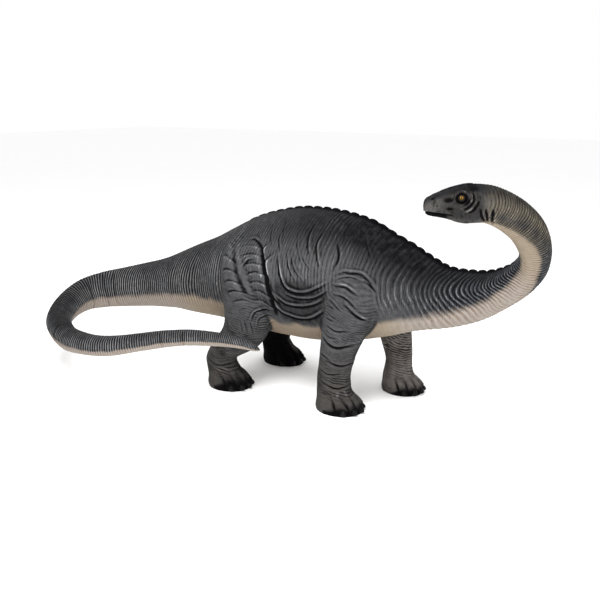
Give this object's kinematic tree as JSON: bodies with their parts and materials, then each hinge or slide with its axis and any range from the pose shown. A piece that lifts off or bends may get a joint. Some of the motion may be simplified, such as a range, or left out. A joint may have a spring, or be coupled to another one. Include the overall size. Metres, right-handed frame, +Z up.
{
  "type": "sauropod dinosaur statue",
  "caption": "Still, moulded and painted statue of a walking long-necked dinosaur, its neck and tail curled round to its right side, standing on flat soles.",
  "frame": {"origin": "middle of the statue's footprint box, on the floor under the soles", "axes": "+X the way the body walks, +Y the animal's left side, +Z up"},
  "size_m": [3.4913, 1.3355, 1.4692],
  "materials": {
    "painted_skin": "moulded resin painted slate grey with pale worn ridges, dark grooves and a cream underside, satin",
    "painted_claw": "near-black paint, satin",
    "eye": "amber iris with a dark slit pupil, glossy varnish"
  },
  "bodies": {
    "root": {"head": "painted_skin", "neck_upper": "painted_skin", "neck_middle": "painted_skin", "neck_lower": "painted_skin", "torso": "painted_skin", "tail_base": "painted_skin", "tail_middle": "painted_skin", "tail_bend": "painted_skin", "tail_return": "painted_skin", "tail_tip": "painted_skin", "leg_front_right": "painted_skin", "leg_front_left": "painted_skin", "leg_hind_right": "painted_skin", "leg_hind_left": "painted_skin", "claw_front_right_1": "painted_claw", "claw_front_right_2": "painted_claw", "claw_front_right_3": "painted_claw", "claw_front_right_4": "painted_claw", "claw_front_right_5": "painted_claw", "claw_front_left_1": "painted_claw", "claw_front_left_2": "painted_claw", "claw_front_left_3": "painted_claw", "claw_front_left_4": "painted_claw", "claw_front_left_5": "painted_claw", "claw_hind_right_1": "painted_claw", "claw_hind_right_2": "painted_claw", "claw_hind_right_3": "painted_claw", "claw_hind_right_4": "painted_claw", "claw_hind_right_5": "painted_claw", "claw_hind_left_1": "painted_claw", "claw_hind_left_2": "painted_claw", "claw_hind_left_3": "painted_claw", "claw_hind_left_4": "painted_claw", "claw_hind_left_5": "painted_claw", "eye_right": "eye", "eye_left": "eye"}
  },
  "joints": []
}
